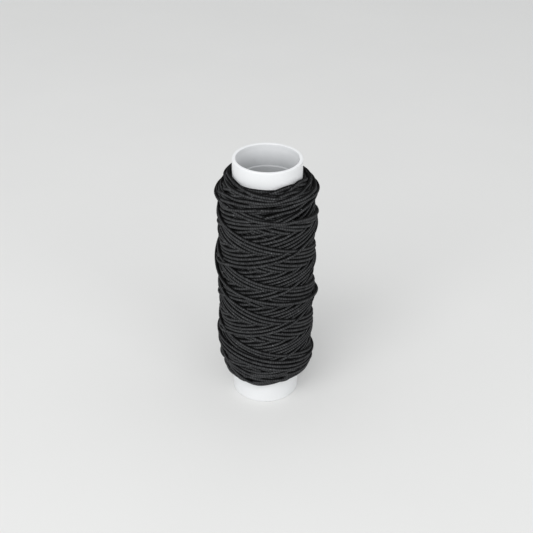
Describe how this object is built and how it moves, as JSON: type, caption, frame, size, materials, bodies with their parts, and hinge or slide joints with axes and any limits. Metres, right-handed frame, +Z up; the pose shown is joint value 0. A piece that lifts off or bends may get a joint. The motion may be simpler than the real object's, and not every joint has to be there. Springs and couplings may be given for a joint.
{
  "type": "thread spool",
  "caption": "Small spool: a hollow white moulded tube with matte dark thread cross-wound over most of its height, one loose turn standing proud and its end at the back.",
  "frame": {"origin": "centre of the tube's lower rim, on the surface that the spool stands on", "axes": "+Z up along the tube's axis, -Y the front, where the loose turn crosses, +X to the right of someone looking at the front"},
  "size_m": [0.0249, 0.0257, 0.063],
  "materials": {
    "tube": "satin, slightly translucent white",
    "thread": "matte, with a fine wrapped rib"
  },
  "bodies": {
    "root": {"core_tube": "tube", "thread_winding": "thread", "loose_turn": "thread", "thread_end": "thread"}
  },
  "joints": []
}
